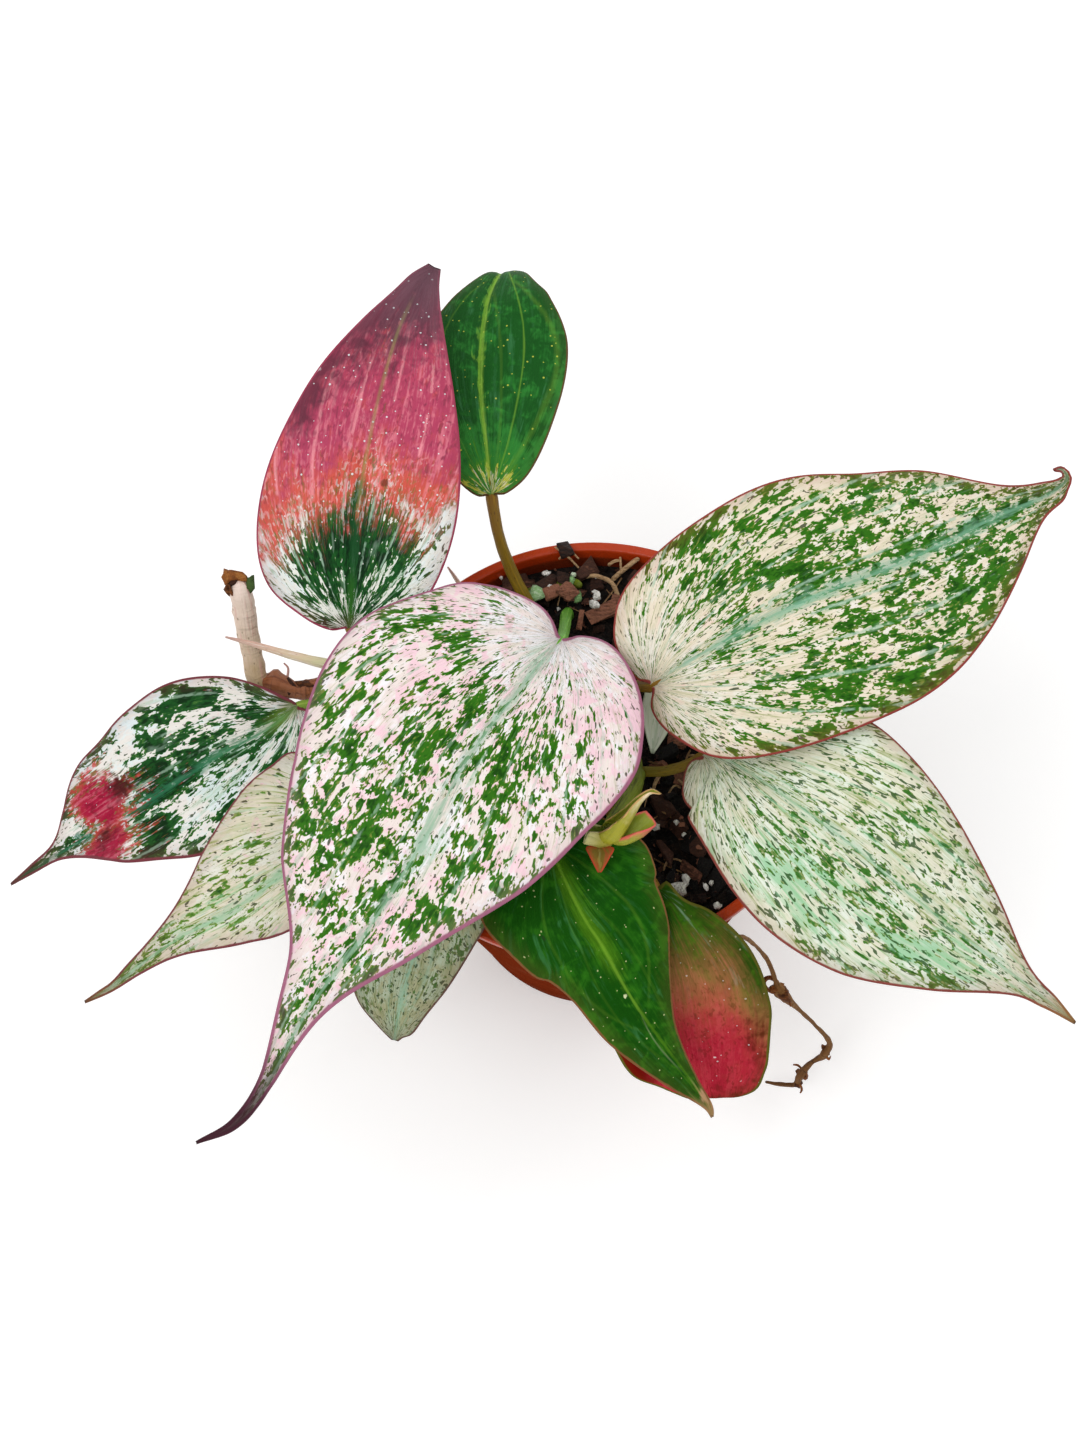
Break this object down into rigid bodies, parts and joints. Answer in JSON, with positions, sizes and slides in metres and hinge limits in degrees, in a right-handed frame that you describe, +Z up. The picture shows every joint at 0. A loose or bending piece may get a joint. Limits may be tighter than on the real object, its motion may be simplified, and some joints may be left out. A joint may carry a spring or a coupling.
{
  "type": "potted philodendron",
  "caption": "Small potted trailing philodendron: broad pointed leaves, marbled cream, pink and green, on short stalks over bark mix in a tapered round plastic nursery pot.",
  "frame": {"origin": "centre of the pot's flat underside", "axes": "+Z up, +X to the picture's right along the longest spread of the leaves, +Y away from the viewer"},
  "size_m": [0.2443, 0.1962, 0.128],
  "materials": {
    "leaf_marble": "satin",
    "leaf_red": "satin",
    "leaf_green": "satin",
    "young_shoot": "satin",
    "leaf_stalk": "satin",
    "woody_stem": "matte",
    "aerial_root": "matte",
    "pot": "satin",
    "soil": "matte",
    "bark": "matte"
  },
  "bodies": {
    "root": {"leaf_centre": "leaf_marble", "leaf_right_upper": "leaf_marble", "leaf_right_lower": "leaf_marble", "leaf_left_pale": "leaf_marble", "leaf_front_hanging": "leaf_marble", "leaf_small_pale": "leaf_marble", "leaf_back_red": "leaf_red", "leaf_left_pink": "leaf_red", "leaf_front_red": "leaf_red", "leaf_back_green": "leaf_green", "leaf_front_green": "leaf_green", "bud_sheath": "young_shoot", "bud_leaf_rolled": "young_shoot", "bud_leaf_pointed": "young_shoot", "shoot_left": "young_shoot", "vine_front": "young_shoot", "vine_back": "young_shoot", "petiole_centre": "young_shoot", "petiole_left_pink": "young_shoot", "petiole_small_pale": "young_shoot", "petiole_right_upper": "leaf_stalk", "petiole_right_lower": "leaf_stalk", "petiole_back_red": "leaf_stalk", "petiole_back_green": "leaf_stalk", "petiole_left_pale": "leaf_stalk", "petiole_front_hanging": "leaf_stalk", "petiole_front_green": "leaf_stalk", "petiole_front_red": "leaf_stalk", "vine_old": "woody_stem", "stem_cut": "woody_stem", "sprout_back": "woody_stem", "root_aerial_long": "aerial_root", "root_aerial_fine": "aerial_root", "pot": "pot", "soil": "soil", "bark_chip_on_rim": "bark"}
  },
  "joints": []
}
